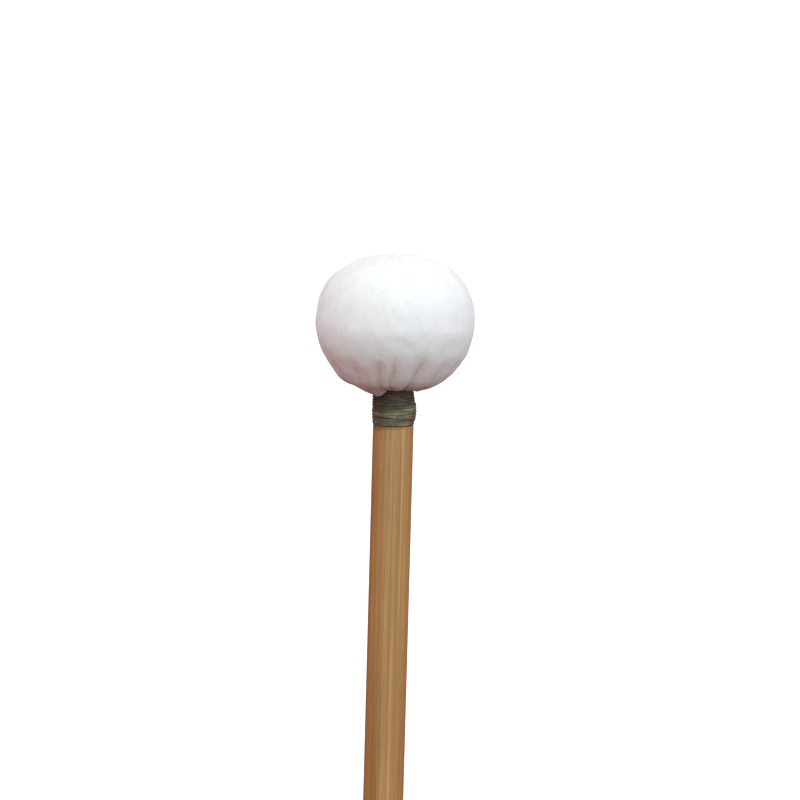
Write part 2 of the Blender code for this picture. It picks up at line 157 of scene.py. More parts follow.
def start_group(name, numbers, gives):
    """A shader node group that takes a Place and some numbers, and gives values back by name."""
    group = bpy.data.node_groups.new(name, "ShaderNodeTree")
    group.interface.new_socket("Place", in_out="INPUT", socket_type="NodeSocketVector")
    for title, usual in numbers.items():
        group.interface.new_socket(title, in_out="INPUT", socket_type="NodeSocketFloat").default_value = usual
    for title in gives:
        group.interface.new_socket(title, in_out="OUTPUT", socket_type="NodeSocketFloat")
    return group, group.nodes.new("NodeGroupInput").outputs, group.nodes.new("NodeGroupOutput").inputs


def place_group(tree, group, inputs):
    """Put a group into a material with that material's own numbers, and return what it gives."""
    return add_node(tree, "ShaderNodeGroup", inputs, node_tree=group).outputs


# %% Helpers for values
def remap(tree, value, low, high, to_low=0.0, to_high=1.0):
    """Stretch a value from one range to another, held at the ends."""
    limits = {"From Min": low, "From Max": high, "To Min": to_low, "To Max": to_high}
    return add_node(tree, "ShaderNodeMapRange", {"Value": value, **limits}).outputs["Result"]


def maths(tree, operation, first, second):
    """One step of arithmetic with two values."""
    return add_node(tree, "ShaderNodeMath", {0: first, 1: second}, operation=operation).outputs[0]


def stretch(tree, place, scale):
    """A place with its axes stretched, which squeezes the patterns drawn on it."""
    return add_node(tree, "ShaderNodeMapping", {"Vector": place, "Scale": scale}).outputs["Vector"]


def object_place(tree, scale=(1.0, 1.0, 1.0)):
    """Where a point lies on the object, in metres, stretched by scale."""
    return stretch(tree, tree.nodes.new("ShaderNodeTexCoord").outputs["Object"], scale)


def axes(tree, place):
    """The X, Y and Z of a place."""
    return add_node(tree, "ShaderNodeSeparateXYZ", {"Vector": place}).outputs


def noise(tree, place, scale, detail=2.0, roughness=0.5):
    """Plain noise between 0 and 1; scale is how many blobs fit in a metre."""
    look = {"Vector": place, "Scale": scale, "Detail": detail, "Roughness": roughness}
    return add_node(tree, "ShaderNodeTexNoise", look).outputs["Fac"]


# %% Helpers for colours
WHITE = (1.0, 1.0, 1.0)


def mix_colours(tree, factor, first, second, blend="MIX"):
    """A colour mix; each colour is three numbers or a node's output."""
    mix = add_node(tree, "ShaderNodeMix", {0: factor}, data_type="RGBA", blend_type=blend)
    for index, colour in ((6, first), (7, second)):
        fill(tree, mix.inputs[index], (*colour, 1.0) if isinstance(colour, tuple) else colour)
    return mix.outputs[2]


def tint(tree, colour, filter_colour):
    """A colour seen through a filter of another colour."""
    return mix_colours(tree, 1.0, colour, filter_colour, "MULTIPLY")


def colour_ramp(tree, value, colours):
    """A colour ramp over 0..1 from (position, colour) pairs, the first at 0 and the last at 1."""
    ramp = add_node(tree, "ShaderNodeValToRGB", {0: value})
    stops = ramp.color_ramp.elements
    stops[0].color = (*colours[0][1], 1.0)
    stops[1].color = (*colours[-1][1], 1.0)
    for position, colour in colours[1:-1]:
        stops.new(position).color = (*colour, 1.0)
    return ramp.outputs["Color"]


# %% [markdown]
# ## The studio
# The felt in the photograph is brightest where it faces up and forward, even at its sides, and dark and
# warm only underneath. That is the light of a big white space in front of the mallet, and a warm dark table
# under it. The world makes that space for the light that reaches the mallet: bright and slightly blue in
# front, dimmer overhead and at the back, with one paler patch straight behind. The camera itself sees plain
# white, as in a cut-out picture. A lamp to the right makes that side of the ball a little brighter.

# %% The world
scene.view_settings.view_transform = "Standard"
scene.view_settings.look = "None"

world = bpy.data.worlds.new("studio")
scene.world = world
world.use_nodes = True
world_tree = world.node_tree
world_tree.nodes.clear()


def camera_sees(tree, shown, otherwise):
    """One shader where the camera looks, and another for every other ray."""
    looked_at = tree.nodes.new("ShaderNodeLightPath").outputs["Is Camera Ray"]
    return add_node(tree, "ShaderNodeMixShader", {0: looked_at, 1: otherwise.outputs[0], 2: shown.outputs[0]})


heading = axes(world_tree, world_tree.nodes.new("ShaderNodeTexCoord").outputs["Generated"])
sky_colours = [
    # sine of the height above the horizon, colour of the light from there
    (0.0, (0.48, 0.96, 0.95)),
    (0.35, (0.70, 0.87, 0.87)),
    (0.70, (0.63, 0.656, 0.665)),
    (1.0, (0.255, 0.10, 0.035)),
]
to_the_left = remap(world_tree, heading["X"], -0.15, -0.9)
to_the_right = remap(world_tree, heading["X"], 0.2, 1.0)
behind = remap(world_tree, heading["Y"], 0.05, 0.65)
straight_behind = remap(world_tree, heading["Y"], 0.72, 0.95)
overhead = remap(world_tree, heading["Z"], 0.2, 0.65)
left_colour = mix_colours(world_tree, overhead, (0.76, 0.07, 0.14), (0.86, 1.40, 1.44))
left_tint = mix_colours(world_tree, to_the_left, WHITE, left_colour)
right_tint = mix_colours(world_tree, to_the_right, WHITE, (1.02, 0.76, 0.90))
ambient = tint(world_tree, colour_ramp(world_tree, heading["Z"], sky_colours), left_tint)
ambient = tint(world_tree, ambient, right_tint)
ambient = mix_colours(world_tree, behind, ambient, (0.19, 0.16, 0.16))
ambient = mix_colours(world_tree, straight_behind, ambient, (0.60, 0.59, 0.59))
room = add_node(world_tree, "ShaderNodeBackground", {"Color": ambient, "Strength": 2.35})
backdrop = add_node(world_tree, "ShaderNodeBackground", {"Color": (*WHITE, 1.0), "Strength": 1.05})
surroundings = camera_sees(world_tree, backdrop, room)
add_node(world_tree, "ShaderNodeOutputWorld", {"Surface": surroundings.outputs[0]})
print("world", world.name)

# %% The floor
reach = 9.0
floor_corners = [(-reach, -reach, 0), (reach, -reach, 0), (reach, reach, 0), (-reach, reach, 0)]
floor_mesh = bpy.data.meshes.new("floor")
floor_mesh.from_pydata(floor_corners, [], [(0, 1, 2, 3)])
floor = add_object("floor", floor_mesh)
floor_paint = bpy.data.materials.new("floor_paint")
floor_paint.use_nodes = True
floor_tree = floor_paint.node_tree
floor_tree.nodes.clear()
warm_table = add_node(floor_tree, "ShaderNodeBsdfDiffuse", {"Color": (0.235, 0.06, 0.04, 1.0)})
bright = add_node(floor_tree, "ShaderNodeBsdfDiffuse", {"Color": (0.55, 0.55, 0.55, 1.0)})
glow = add_node(floor_tree, "ShaderNodeEmission", {"Color": (*WHITE, 1.0), "Strength": 0.80})
pale = add_node(floor_tree, "ShaderNodeAddShader", {0: bright.outputs[0], 1: glow.outputs[0]})
floor_look = camera_sees(floor_tree, pale, warm_table)
add_node(floor_tree, "ShaderNodeOutputMaterial", {"Surface": floor_look.outputs[0]})
floor_mesh.materials.append(floor_paint)
print("floor", 2 * reach, "m wide")

# %% The lamp
lamp_azimuth = math.radians(34)
lamp_elevation = math.radians(38)
lamp_away = 1.1
lamp_data = bpy.data.lights.new("key_lamp", "AREA")
lamp_data.size = 0.95
lamp_data.energy = 1.2
lamp = add_object("key_lamp", lamp_data)
towards_lamp = Vector(
    (
        math.sin(lamp_azimuth) * math.cos(lamp_elevation),
        -math.cos(lamp_azimuth) * math.cos(lamp_elevation),
        math.sin(lamp_elevation),
    )
)
lamp.location = Vector((0.0, 0.0, equator)) + towards_lamp * lamp_away
lamp.rotation_euler = towards_lamp.to_track_quat("Z", "Y").to_euler()
lamp.visible_camera = False
print("lamp", [round(v, 2) for v in lamp.location])

# %% [markdown]
# ## Felt
# Felt is matted wool: there is no weave, only fibres in every direction, so the light that falls on it
# spreads and its edge looks soft. Two sizes of noise give the matted lumps and the single fibres, and a
# little sheen gives the soft edge. The lumps and fibres are one node group, because the cover, the strip
# and the pad are all felt.

# %% The group for matted wool
def matted_wool():
    """Two sizes of noise: Mottle is for the colour and Height is for the bump."""
    group, given, gives = start_group("matted_wool", {"Fineness": 1.0}, ["Mottle", "Height"])
    scaled = {0: given["Place"], "Scale": given["Fineness"]}
    place = add_node(group, "ShaderNodeVectorMath", scaled, operation="SCALE").outputs["Vector"]
    lumps = noise(group, place, 260.0, 3.0, 0.55)
    fibres = noise(group, place, 1500.0, 4.0, 0.7)
    mottle = maths(group, "MULTIPLY", maths(group, "ADD", lumps, fibres), 0.5)
    low_lumps = maths(group, "MULTIPLY", lumps, 0.55)
    low_fibres = maths(group, "MULTIPLY", fibres, 0.45)
    group.links.new(mottle, gives["Mottle"])
    group.links.new(maths(group, "ADD", low_lumps, low_fibres), gives["Height"])
    return group


wool_group = matted_wool()
print("group", wool_group.name)


# %% The felt materials
def dress(tree, shader, colour, height, depth, strength=1.0):
    """Give the shader its colour, and a normal tilted as if the surface rose by height times depth metres."""
    tree.links.new(colour, shader.inputs["Base Color"])
    bump = add_node(tree, "ShaderNodeBump", {"Height": height, "Distance": depth, "Strength": strength})
    tree.links.new(bump.outputs["Normal"], shader.inputs["Normal"])


def base_colour(material):
    """A material's tree, its Base Color socket and the colour that feeds it now."""
    socket = material.node_tree.nodes["Principled BSDF"].inputs["Base Color"]
    return material.node_tree, socket, socket.links[0].from_socket


def felt(name, light, dark, fineness, lump_depth):
    """A felt material whose colour wanders between light and dark, with lumps lump_depth metres deep."""
    material, tree, shader = start_material(
        name, Roughness=0.96, Sheen_Weight=0.22, Sheen_Roughness=0.55, Specular_IOR_Level=0.15
    )
    wool = place_group(tree, wool_group, {"Place": object_place(tree), "Fineness": fineness})
    colour = mix_colours(tree, remap(tree, wool["Mottle"], 0.36, 0.62), dark, light)
    dress(tree, shader, colour, wool["Height"], lump_depth, 0.8)
    return material


def paint_underside_shade(material):
    """Paint shade on the felt: grey below the equator and brown in the gathers at the neck."""
    tree, socket, unshaded = base_colour(material)
    height = axes(tree, object_place(tree))["Z"]
    # painted shade, growing from just above the equator to 6 mm below it
    shaded_below_equator = remap(tree, height, equator + 1.5 * MM, equator - 6.0 * MM)
    underside_shade_tint = mix_colours(tree, shaded_below_equator, WHITE, (0.905, 0.900, 0.890))
    # painted shade, browner in the gathers towards the neck
    gather_shade = remap(tree, height, equator - 13.0 * MM, equator - 21.6 * MM, 0.0, 0.65)
    tree.links.new(mix_colours(tree, gather_shade, tint(tree, unshaded, underside_shade_tint), (0.44, 0.38, 0.36)), socket)


strip_felt = felt("hard_strip_felt", (0.66, 0.62, 0.54), (0.50, 0.46, 0.39), 1.4, 0.15 * MM)
cover_felt = felt("white_cover_felt", (0.92, 0.92, 0.91), (0.84, 0.84, 0.83), 1.0, 0.35 * MM)
paint_underside_shade(cover_felt)
print("felts", strip_felt.name, cover_felt.name)

# %% [markdown]
# ## Thread
# The binding is a dark olive twisted thread. The plies are real geometry, so the material only has to add
# fine fibres and painted light and shade: paler near the stick, painted shade under the ball and at the
# sides, lighter at the front, and banded painted shade between the turns. The pale linen threads inside
# the head use the same group of fibres with their own colours.

# %% The group for spun fibres
def spun_fibres():
    """Worn patches for the colour and fine hairs for the bump."""
    group, given, gives = start_group("spun_fibres", {"Patches": 300.0}, ["Wear", "Height"])
    group.links.new(noise(group, given["Place"], given["Patches"]), gives["Wear"])
    group.links.new(noise(group, given["Place"], 5200.0, 2.0, 0.6), gives["Height"])
    return group


spun_group = spun_fibres()
print("group", spun_group.name)


# %% The thread materials
def thread_finish(name, dark, light, roughness, sheen):
    """A thread material whose colour wanders between dark and light in patches."""
    material, tree, shader = start_material(
        name, Roughness=roughness, Sheen_Weight=sheen, Sheen_Roughness=0.4, Specular_IOR_Level=0.4
    )
    fibres = place_group(tree, spun_group, {"Place": object_place(tree), "Patches": 300.0})
    colour = mix_colours(tree, remap(tree, fibres["Wear"], 0.38, 0.66), dark, light)
    dress(tree, shader, colour, fibres["Height"], 0.06 * MM)
    return material


olive_shade_by_height = [
    # share of 12 mm above the shoulder, the thread's colour there, with painted shade darkening it under the
    # ball
    (0.0, (0.360, 0.300, 0.190)),
    (0.055, (0.320, 0.270, 0.170)),
    (0.10, (0.165, 0.152, 0.090)),
    (0.17, (0.205, 0.216, 0.138)),
    (0.33, (0.290, 0.305, 0.195)),
    (0.44, (0.140, 0.135, 0.088)),
    (0.66, (0.137, 0.116, 0.077)),
    (0.80, (0.110, 0.088, 0.062)),
    (1.0, (0.055, 0.042, 0.034)),
]
olive_light_and_shade_by_side = [
    # share of the way from the left side to the right one, the painted light and shade there
    (0.0, (0.62, 0.47, 0.44)),
    (0.22, (0.68, 0.55, 0.49)),
    (0.42, (0.95, 0.93, 0.92)),
    (0.60, WHITE),
    (0.80, (1.02, 0.92, 0.84)),
    (1.0, (0.68, 0.53, 0.47)),
]


def slanted_height(tree, place, slope):
    """Height that rises with X, for what runs round the stick not quite level."""
    return maths(tree, "ADD", place["Z"], maths(tree, "MULTIPLY", place["X"], slope))


def paint_binding_light_and_shade(material):
    """Paint light and shade on the binding: by height, from side to side, and banded between the turns."""
    tree, socket, worn = base_colour(material)
    place = axes(tree, object_place(tree))
    up_the_binding = remap(tree, slanted_height(tree, place, -0.14), shoulder, shoulder + 12 * MM)
    to_the_side = remap(tree, place["X"], -6.5 * MM, 6.5 * MM)
    # painted shade up under the ball, and painted light and shade from side to side
    olive = colour_ramp(tree, up_the_binding, olive_shade_by_height)
    olive = tint(tree, olive, colour_ramp(tree, to_the_side, olive_light_and_shade_by_side))
    # banded painted shade between the turns
    shade_bands = noise(tree, object_place(tree, (0.14, 0.14, 1.0)), 700.0, 1.0)
    shade_band_tint = mix_colours(tree, remap(tree, shade_bands, 0.38, 0.62), (0.66, 0.63, 0.62), (1.26, 1.28, 1.24))
    tree.links.new(tint(tree, tint(tree, olive, shade_band_tint), worn), socket)


linen_thread = thread_finish("waxed_linen_thread", (0.55, 0.50, 0.40), (0.72, 0.68, 0.58), 0.6, 0.1)
olive_thread = thread_finish("olive_binding_thread", (0.62, 0.58, 0.52), WHITE, 0.55, 0.12)
paint_binding_light_and_shade(olive_thread)
print("threads", linen_thread.name, olive_thread.name)

# %% [markdown]
# ## Bamboo and wood
# Bamboo has no rings or knots: it is straight pale fibres in a darker ground, all along the stick, under a
# thin clear lacquer. Noise stretched more than a hundredfold along Z gives such streaks, a few pale fibre
# bundles are placed one by one, with painted light at the front and painted shade at the sides, and a coat
# gives the lacquer. A painted shadow darkens the stick just under the binding. The turned wooden pieces
# inside use the same streaks, wider and plainer.

# %% The group for lengthwise fibres
def lengthwise_fibres():
    """Long streaks and short dark pores, and the height that both leave."""
    group, given, gives = start_group("lengthwise_fibres", {"Streaks": 900.0}, ["Streak", "Pores", "Height"])
    long_place = stretch(group, given["Place"], (1.0, 1.0, 0.008))
    short_place = stretch(group, given["Place"], (1.0, 1.0, 0.06))
    streak = noise(group, long_place, given["Streaks"], 3.0, 0.6)
    pores = remap(group, noise(group, short_place, 3200.0, 1.0), 0.62, 0.74)
    group.links.new(streak, gives["Streak"])
    group.links.new(pores, gives["Pores"])
    group.links.new(maths(group, "SUBTRACT", streak, pores), gives["Height"])
    return group


grain_group = lengthwise_fibres()
print("group", grain_group.name)

# %% Bamboo, with pale and dark bundles down its front, painted light there and painted shade at its sides
# degrees from the left edge, and how pale the stick is there: fibre bundles with painted light, and painted
# shade at the sides
bundle_degrees = [0, 29, 45, 56, 70, 81, 93, 104, 112, 122, 133, 146, 158, 180]
bundle_paleness_and_light = [0.0, 0.0, 0.20, 0.14, 0.0, 1.0, 0.20, 1.0, 0.0, 0.86, 0.34, 0.18, 0.06, 0.0]


def bamboo_finish():
    """Honey-brown lacquered bamboo."""
    material, tree, shader = start_material(
        "lacquered_bamboo", Roughness=0.42, Coat_Weight=0.35, Coat_Roughness=0.22
    )
    whole_place = object_place(tree)
    place = axes(tree, whole_place)
    grain = place_group(tree, grain_group, {"Place": whole_place, "Streaks": 1250.0})
    share = remap(tree, grain["Streak"], 0.38, 0.62)
    streaks = mix_colours(tree, share, (0.275, 0.130, 0.035), (0.645, 0.386, 0.144))

    angle = maths(tree, "ARCTAN2", place["X"], maths(tree, "MULTIPLY", place["Y"], -1.0))
    from_left = maths(tree, "PINGPONG", maths(tree, "ADD", angle, math.pi / 2), math.pi)
    # fibre bundles by angle round the stick, with painted light on the front and painted shade on the sides
    greys = [(degrees / 180, (pale,) * 3) for degrees, pale in zip(bundle_degrees, bundle_paleness_and_light)]
    paleness_and_light = colour_ramp(tree, remap(tree, from_left, 0.0, math.pi), greys)
    bundles_and_light = mix_colours(tree, paleness_and_light, (0.375, 0.160, 0.047), (0.595, 0.362, 0.140))
    colour = mix_colours(tree, 0.56, streaks, bundles_and_light)

    dark_pores = maths(tree, "MULTIPLY", grain["Pores"], 0.28)
    colour = mix_colours(tree, dark_pores, colour, (0.16, 0.085, 0.035))
    blotches = noise(tree, object_place(tree, (1.0, 1.0, 0.35)), 55.0)
    colour = mix_colours(tree, remap(tree, blotches, 0.35, 0.7, 0.0, 0.3), colour, (0.27, 0.135, 0.05))
    # painted shadow of the binding on the stick just under it, deeper on the left
    height = slanted_height(tree, place, -0.12)
    binding_shadow = remap(tree, height, shoulder - 1.3 * MM, shoulder + 0.4 * MM, 0.0, 0.75)
    colour = mix_colours(tree, binding_shadow, colour, (0.06, 0.05, 0.025))
    dress(tree, shader, colour, grain["Height"], 0.05 * MM, 0.5)
    return material


bamboo = bamboo_finish()
print("material", bamboo.name)


# %% The plain woods
def wood_finish(name, dark, light, streaks):
    """Plain turned wood with lengthwise fibres and darker pores."""
    material, tree, shader = start_material(name, Roughness=0.6)
    grain = place_group(tree, grain_group, {"Place": object_place(tree), "Streaks": streaks})
    colour = mix_colours(tree, remap(tree, grain["Streak"], 0.35, 0.65), dark, light)
    colour = mix_colours(tree, grain["Pores"], colour, tuple(0.6 * part for part in dark))
    dress(tree, shader, colour, grain["Height"], 0.05 * MM, 0.4)
    return material


plug_wood = wood_finish("oiled_plug_wood", (0.20, 0.10, 0.045), (0.34, 0.19, 0.09), 1400.0)
dowel_wood = wood_finish("plain_dowel_wood", (0.44, 0.28, 0.14), (0.60, 0.42, 0.24), 1200.0)
core_wood = wood_finish("turned_core_wood", (0.48, 0.31, 0.17), (0.64, 0.46, 0.28), 420.0)
print("woods", plug_wood.name, dowel_wood.name, core_wood.name)

# %% [markdown]
# ## Steel
# The screw and its washer are small, plain and never seen from outside, but they still get a real finish:
# bright zinc whose roughness wanders as handling leaves it.

# %% Steel
steel, steel_tree, steel_shader = start_material("zinc_steel", Metallic=1.0)
smears = noise(steel_tree, object_place(steel_tree), 700.0, 4.0, 0.65)
smeared_zinc = mix_colours(steel_tree, smears, (0.50, 0.50, 0.50), (0.66, 0.66, 0.68))
steel_tree.links.new(remap(steel_tree, smears, 0.3, 0.7, 0.22, 0.48), steel_shader.inputs["Roughness"])
steel_tree.links.new(smeared_zinc, steel_shader.inputs["Base Color"])
print("material", steel.name)

# %% [markdown]
# ## The pieces that stay as they are
# The core, the dowel, the plug, the washer and the screw are plain turned forms, and the model's own meshes
# already have them. They only take off their plain material and put on the one made for them.

# %% Finishes for the model's own meshes
finishes = {
    "head_core": core_wood,
    "tip_dowel": dowel_wood,
    "butt_plug": plug_wood,
    "core_washer": steel,
    "core_screw": steel,
}
for name, finish in finishes.items():
    nodes[name].data.materials.clear()
    nodes[name].data.materials.append(finish)
    print(name, "is", finish.name)

# %% [markdown]
# ## Making meshes
# Every form below is a set of rings of points joined by faces: a lathe for the stick, a pleated lathe for
# the felt, a swept circle for thread. A few helpers join such rings, close their ends and make the mesh.
# They take the points as numpy arrays or lists, which keeps tens of thousands of points quick.

# %% Rings to a closed mesh
def make_piece(name, points, faces, material, replaced):
    """A smooth-shaded piece that stands for some CAD nodes."""
    mesh = bpy.data.meshes.new(name)
    mesh.from_pydata([tuple(point) for point in points], [], faces)
    form = bmesh.new()
    form.from_mesh(mesh)
    bmesh.ops.recalc_face_normals(form, faces=form.faces)
    form.to_mesh(mesh)
    form.free()
    mesh.materials.append(material)
    mesh.shade_smooth()
    piece = add_object(name, mesh)
    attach(piece, "root")
    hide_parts(*replaced)
    print(name, len(mesh.polygons), "faces")
    return piece


def join_rings(rows, sides, start=0):
    """Faces between rows of points that lie one after another, each row once round."""
    faces = []
    for row in range(rows - 1):
        low = start + row * sides
        high = low + sides
        for side in range(sides):
            after = (side + 1) % sides
            faces.append((low + side, low + after, high + after, high + side))
    return faces


def cap_ends(points, rows, sides, start=0):
    """Close the first and last ring with a fan round a middle point."""
    faces = []
    for row, flip in ((0, True), (rows - 1, False)):
        first = start + row * sides
        ring = np.array(points[first : first + sides])
        points.append(tuple(ring.mean(axis=0)))
        middle = len(points) - 1
        for side in range(sides):
            pair = (first + side, first + (side + 1) % sides)
            faces.append((middle, *(pair[::-1] if flip else pair)))
    return faces


def lathe(section, sides):
    """Points and faces of a (radius, height) section spun round the stick and closed on its axis."""
    turns = np.arange(sides) * math.tau / sides
    points = [(r * math.cos(t), r * math.sin(t), z) for r, z in section for t in turns]
    faces = join_rings(len(section), sides)
    faces += cap_ends(points, len(section), sides)
    return points, faces


# %% [markdown]
# ## The bamboo stick
# A bamboo culm is nearly straight, with a ridge and a scar at each joint and a shallow groove above it. The
# CAD solid has that form in flat facets. Here it gets 120 sides, so that its edge stays round close up, and
# the fine ribs that the fibres leave on a scraped and lacquered culm.

# %% The culm's form
joints = (47.0 * MM, 196.0 * MM)
joint_width = 2.6 * MM
ridge_height = 0.50 * MM
scar_height = 0.10 * MM
waist_depth = 0.24 * MM
groove_length = 42 * MM
groove_depth = 0.6 * MM
groove_reach = 0.75


def swelling(place, middle, width):
    """A smooth swelling, 1 at its middle."""
    return math.exp(-(((place - middle) / width) ** 2))


def culm(height):
    """The culm's radius at a height: its taper, and a ridge, a scar and a waist at each joint."""
    radius = butt_radius + (stick_radius - butt_radius) * height / shoulder
    for joint in joints:
        above = (height - joint) / joint_width
        radius += ridge_height * swelling(above, 0.0, 1.0)
        radius += scar_height * swelling(above, 0.35, 0.16)
        radius -= waist_depth * swelling(above, -1.7, 0.45)
    return radius


def groove(height, turn):
    """The depth of the shallow groove above each joint; the two lie on opposite sides."""
    depth = 0.0
    for joint, side in zip(joints, (0.0, math.pi)):
        above = (height - joint) / groove_length
        across = math.cos(turn - side - math.radians(60))
        if 0.0 < above < 1.0 and across > groove_reach:
            lengthwise = min(1.0, above * 8) * (1 - above)
            depth += groove_depth * lengthwise * ((across - groove_reach) / (1 - groove_reach)) ** 0.7
    return depth


thick_ends = [round(2 * culm(height) / MM, 1) for height in (0.0, shoulder)]
print("the stick is", thick_ends[0], "mm thick at the butt and", thick_ends[1], "mm under the binding")

# %% The stick
stick_sides = 120
rib_depth = 0.035 * MM
rib_seed = np.random.default_rng(11)
rib_heights = rib_seed.uniform(-1.0, 1.0, stick_sides)
smooth_ribs = np.convolve(np.tile(rib_heights, 3), [0.25, 0.5, 0.25], "same")
ribs = smooth_ribs[stick_sides : 2 * stick_sides] * rib_depth

pith = 2.6 * MM
rounding = 1.2 * MM
edge = 0.12 * MM
outer = []
for bend in np.linspace(0.0, math.pi / 2, 9):
    outer.append((butt_radius - rounding + rounding * math.sin(bend), rounding - rounding * math.cos(bend)))
near_joints = [joint + joint_width * away for joint in joints for away in np.linspace(-3, 2.6, 36)]
along_grooves = [joint + away * MM for joint in joints for away in range(8, 46, 3)]
below_joints = [*np.linspace(0.005, 0.036, 6), *np.linspace(0.1, 0.185, 10)]
upper_stick = np.linspace(0.245, shoulder - 1 * MM, 24)
for height in [*sorted(near_joints + along_grooves + below_joints), *upper_stick]:
    outer.append((culm(height), height))
outer += [(stick_radius, shoulder - 3 * edge), (stick_radius, shoulder - edge)]
outer.append((stick_radius - edge, shoulder))
section = [
    (pith, joints[0] - 2 * MM),
    (pith, 0.0),
    *outer,
    (neck_radius, shoulder),
    (neck_radius, stick_tip - 0.5 * MM),
    (neck_radius - 0.5 * MM, stick_tip),
    (pith, stick_tip),
    (pith, joints[1] + 2 * MM),
]
stick_points, stick_faces = lathe(section, stick_sides)
stick_points = np.array(stick_points)
culm_points = stick_points[2 * stick_sides : (2 + len(outer)) * stick_sides]
from_axis = np.hypot(culm_points[:, 0], culm_points[:, 1])
culm_turns = np.arctan2(culm_points[:, 1], culm_points[:, 0])
grooves = np.array([groove(point[2], turn) for point, turn in zip(culm_points, culm_turns)])
# culm_points is a view of stick_points, so this moves the stick's own points
culm_points[:, :2] *= (1 + (np.tile(ribs, len(outer)) - grooves) / from_axis)[:, None]
stick = make_piece("bamboo_stick", stick_points, stick_faces, bamboo, ["bamboo_shaft"])
stick.data.set_sharp_from_angle(angle=math.radians(35))

# %% [markdown]
# ## The felt cover
# The real cover is a disc of soft felt a few millimetres thick. It is laid over the head, pulled down, and
# its edge is gathered round the neck and tied, so the spare cloth has to go into pleats. A cloth simulation
# of a whole disc would take long and come out different for each setting, so the pleats are placed one by
# one, as on the real head: each has an angle, a strength and a height where it starts. The form between
# them comes from two curves, a fuller one above the equator and an ellipse below it. Cloth only puffs out
# the gathered part, in a later cell.

# %% The ball's curves
crown_power = 2.33
lip_radius = 7.0 * MM
lip_angle = math.acos(lip_radius / head_radius)
bore_radius = 4.5 * MM
throat_height = equator - 18.4 * MM
cover_form = (head_radius, crown_rise, under_drop)
lining_form = (19.5 * MM, 16.1 * MM, 17.9 * MM)
strip_form = (19.2 * MM, 15.8 * MM, 17.6 * MM)


def upper_curve(form, angle):
    """Radius and height of the upper half at an angle above the equator; form is (radius, rise, drop)."""
    share = 2 / crown_power
    return form[0] * math.cos(angle) ** share, equator + form[1] * math.sin(angle) ** share


def lower_curve(form, angle):
    """Radius and height of the lower half at an angle below the equator."""
    return form[0] * math.cos(angle), equator - form[2] * math.sin(angle)


def upper_angle(form, radius):
    """The angle at which the upper half has a radius."""
    return math.acos((radius / form[0]) ** (crown_power / 2))


print("the lip is", round(math.degrees(lip_angle)), "degrees below the equator")

# %% [markdown]
# ## Where each pleat is
# Angles are in degrees from the front, to the right. The front pleats follow the photograph; the rest carry
# on round the back at the spacing a hand would give them. The lip of the cover isn't level: in front it has
# ridden up off the binding, whose top turns lie dark under it, and to the left of that a fold of it hangs
# over the top thread.

# %% Pleats and lip
pleats = [
    # angle, strength, start as a share of the way down, width in mm
    (-12.5, 0.85, 0.22, 0.50),
    (0.0, 0.85, 0.18, 0.46),
    (22.5, 1.15, 0.20, 0.80),
    (46, 0.45, 0.28, 0.60),
    (66, 0.60, 0.28, 0.65),
    (88, 0.70, 0.36, 0.60),
    (108, 0.95, 0.28, 0.70),
    (131, 0.70, 0.36, 0.60),
    (154, 1.00, 0.28, 0.75),
    (177, 0.80, 0.36, 0.60),
    (202, 0.90, 0.28, 0.70),
    (226, 0.70, 0.36, 0.60),
    (250, 1.00, 0.30, 0.70),
    (274, 0.75, 0.36, 0.60),
    (298, 0.55, 0.28, 0.70),
    (323, 0.35, 0.26, 0.60),
]
# how far the lip is lifted (mm) at angles round it
lip_turns = [-180, -150, -120, -90, -70, -57, -43, -32, -21, -8, 10, 30, 50, 70, 90, 120, 150, 180]
lip_lifts = [0.4, 0.7, 0.8, 1.3, 1.7, 1.4, -0.5, 0.0, 1.3, 1.7, 1.7, 1.8, 1.5, 1.1, 0.8, 0.6, 0.7, 0.4]
# how far the head leans to the right, and how far it swells, at heights above the equator (all mm)
lean_heights = [-21.6, -20.4, -19.0, -17.8, -16.0, -14.2, -12.4, -8.8, -7.0, 0.0, 7.6, 13.1, 16.7, 20.4]
lean_shifts = [0.0, -0.35, -0.85, -0.90, -0.65, -0.40, -0.27, -0.35, -0.38, -0.25, -0.20, -0.10, 0.30, 0.40]
swell_heights = [-20.1, -17.8, -14.6, -12.4, -10.6, -7.0, -3.6]
swells = [0.20, 0.10, -0.45, -0.67, -0.48, -0.08, 0.0]
print(len(pleats), "pleats")

# %% [markdown]
# ## How deep a pleat is
# Each crease is deepest along its line and fades to both sides. It starts shallow with a round floor, grows
# sharper and narrower on the way down, and is shallower again near the neck, where the felt is bunched. Its
# line wanders by a degree. Between the creases the felt puffs out, most where no crease holds it.

# %% The pleats' depth
# lengths in this cell are in mm, and way_down goes from 0 at the equator to 1 at the lip
deepest_crease = 1.1
full_depth_from = 0.56
most_puff = 0.38
held_degrees = 11.0


def ease(low, high, value):
    """0 below low, 1 above high, smooth between; works on arrays."""
    share = np.clip((value - low) / (high - low), 0.0, 1.0)
    return share * share * (3 - 2 * share)


